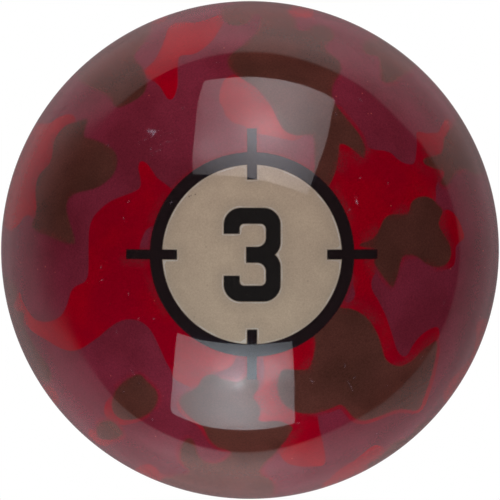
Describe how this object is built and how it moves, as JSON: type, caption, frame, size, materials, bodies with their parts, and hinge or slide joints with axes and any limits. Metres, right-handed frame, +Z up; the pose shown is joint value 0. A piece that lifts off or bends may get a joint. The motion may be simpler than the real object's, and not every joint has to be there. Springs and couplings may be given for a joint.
{
  "type": "pool ball",
  "caption": "Solid resin pool ball in plum, red and brown camouflage under a clear coat, with a cream number disc and black ring with tick bars on two opposite sides.",
  "frame": {"origin": "centre of the ball", "axes": "+Z up, the front number faces -Y and reads upright, the back number faces +Y, +X to the right of the front number"},
  "size_m": [0.0572, 0.0572, 0.0572],
  "materials": {
    "plum_resin": "polished, slightly mottled plum resin",
    "red_resin": "polished red resin",
    "brown_resin": "polished brown resin",
    "cream_resin": "polished cream resin",
    "black_resin": "polished black resin",
    "clear_coat": "clear high-gloss resin with fine scratches"
  },
  "bodies": {
    "root": {"core": "plum_resin", "clear_coat": "clear_coat", "front_number_disc": "cream_resin", "front_number_ring": "black_resin", "front_numeral_three": "black_resin", "back_number_disc": "cream_resin", "back_number_ring": "black_resin", "back_numeral_three": "black_resin", "brown_patch_top": "brown_resin", "brown_patch_top_left": "brown_resin", "brown_patch_left": "brown_resin", "brown_patch_left_edge": "brown_resin", "brown_patch_lower_left": "brown_resin", "brown_spot_lower_left": "brown_resin", "brown_patch_bottom": "brown_resin", "brown_patch_lower_right": "brown_resin", "brown_patch_right": "brown_resin", "brown_patch_right_edge": "brown_resin", "brown_patch_top_right": "brown_resin", "brown_patch_bottom_right": "brown_resin", "red_patch_top_left": "red_resin", "red_patch_top_left_edge": "red_resin", "red_patch_left_edge": "red_resin", "red_patch_above_ring": "red_resin", "red_patch_left": "red_resin", "red_patch_below_ring": "red_resin", "red_patch_right": "red_resin", "red_patch_top_edge": "red_resin", "red_patch_right_edge": "red_resin", "red_patch_lower_right": "red_resin", "red_patch_lower_right_edge": "red_resin", "red_patch_bottom_right": "red_resin", "red_patch_bottom_left_edge": "red_resin", "red_patch_lower_left": "red_resin", "red_spot_lower_left": "red_resin", "red_patch_bottom_left": "red_resin", "red_patch_bottom": "red_resin", "red_patch_top_right_edge": "red_resin", "brown_patch_back_top": "brown_resin", "brown_patch_back_left": "brown_resin", "brown_patch_back_lower_right": "brown_resin", "brown_patch_back_right": "brown_resin", "brown_patch_back_lower_left": "brown_resin", "brown_patch_back_top_left": "brown_resin", "red_patch_back_left": "red_resin", "red_patch_back_right": "red_resin", "red_patch_back_top_left": "red_resin", "red_patch_back_above_ring": "red_resin", "red_patch_back_bottom": "red_resin"}
  },
  "joints": []
}
